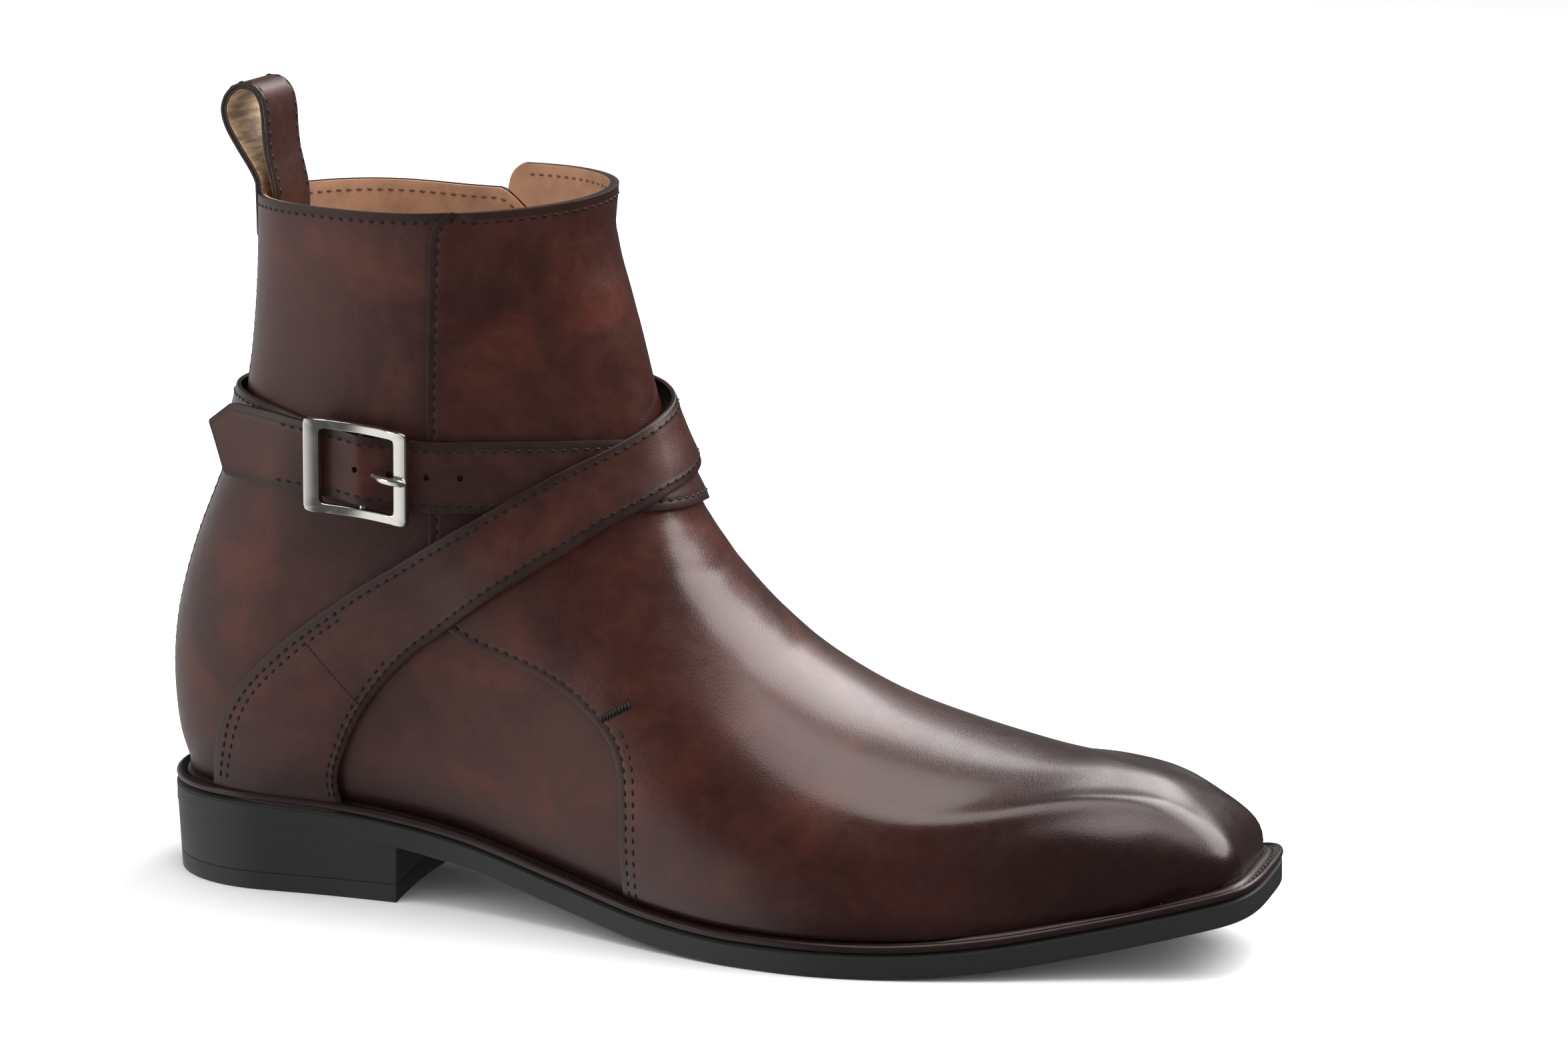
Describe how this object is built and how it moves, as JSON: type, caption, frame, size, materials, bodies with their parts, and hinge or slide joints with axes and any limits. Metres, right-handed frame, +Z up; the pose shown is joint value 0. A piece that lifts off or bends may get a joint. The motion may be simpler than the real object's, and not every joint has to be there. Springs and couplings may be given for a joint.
{
  "type": "jodhpur boot",
  "caption": "Right-foot jodhpur boot: hollow leather upper with a lapped vamp, crossed ankle straps with a buckle, a pull loop, and a welted rubber sole with a stacked heel.",
  "frame": {"origin": "centre of the boot's bounding box on the floor it stands on", "axes": "+X from the heel to the toe, -Y to the outer (lateral) side, +Z up"},
  "size_m": [0.3102, 0.1081, 0.2177],
  "materials": {
    "burnished_leather": "polished, hand-burnished calf with darker clouds",
    "edge_leather": "inked and waxed edge",
    "lining_leather": "matt, vegetable-tanned lining",
    "sole_rubber": "satin charcoal rubber",
    "nickel": "polished nickel plate"
  },
  "bodies": {
    "root": {"upper": "burnished_leather", "vamp": "burnished_leather", "backstay": "edge_leather", "buckle_strap": "burnished_leather", "tip_strap": "burnished_leather", "pull_loop": "burnished_leather", "insole": "lining_leather", "welt": "edge_leather", "outsole": "sole_rubber", "heel_block": "sole_rubber", "top_lift": "sole_rubber", "buckle_frame": "nickel", "buckle_prong": "nickel"}
  },
  "joints": []
}
